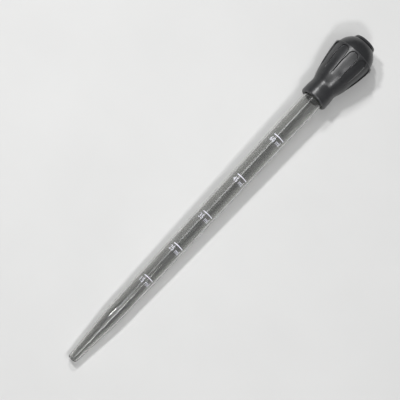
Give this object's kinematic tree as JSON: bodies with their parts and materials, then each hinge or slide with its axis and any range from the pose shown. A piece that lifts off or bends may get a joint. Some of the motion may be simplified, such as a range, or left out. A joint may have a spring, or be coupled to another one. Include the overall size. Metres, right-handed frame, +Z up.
{
  "type": "bulb baster",
  "caption": "Clear tapered plastic tube with a narrow nozzle, push-fitted into a fluted rubber squeeze bulb; the tube pulls out and the bulb's sides press in.",
  "frame": {"origin": "centre of the footprint, on the plane that the bulb lies on", "axes": "+X along the baster's axis from the tube's tip to the bulb's crown; +Z up, through the middle of the printed scale and of one flute; +Y across, through the left squeeze wall"},
  "size_m": [0.45, 0.0472, 0.0472],
  "materials": {
    "bulb_rubber": "satin",
    "scale_ink": "satin",
    "clear_plastic": "clear, glossy, slightly cloudy"
  },
  "bodies": {
    "bulb": {"squeeze_bulb": "bulb_rubber"},
    "left_wall": {"squeeze_wall_left": "bulb_rubber"},
    "right_wall": {"squeeze_wall_right": "bulb_rubber"},
    "tube": {"clear_tube": "clear_plastic"}
  },
  "joints": [
    {"name": "tube_pull_off", "type": "slide", "parent": "bulb", "child": "tube", "axis": [-1, 0, 0], "range_m": [0, 0.03]},
    {"name": "squeeze_left", "type": "slide", "parent": "bulb", "child": "left_wall", "axis": [0, -1, 0], "range_m": [0, 0.0065], "stiffness_N_per_m": 800},
    {"name": "squeeze_right", "type": "slide", "parent": "bulb", "child": "right_wall", "axis": [0, 1, 0], "range_m": [0, 0.0065], "stiffness_N_per_m": 800}
  ],
  "couplings": [
    {"joint": "squeeze_right", "follows": "squeeze_left", "ratio": 1}
  ]
}
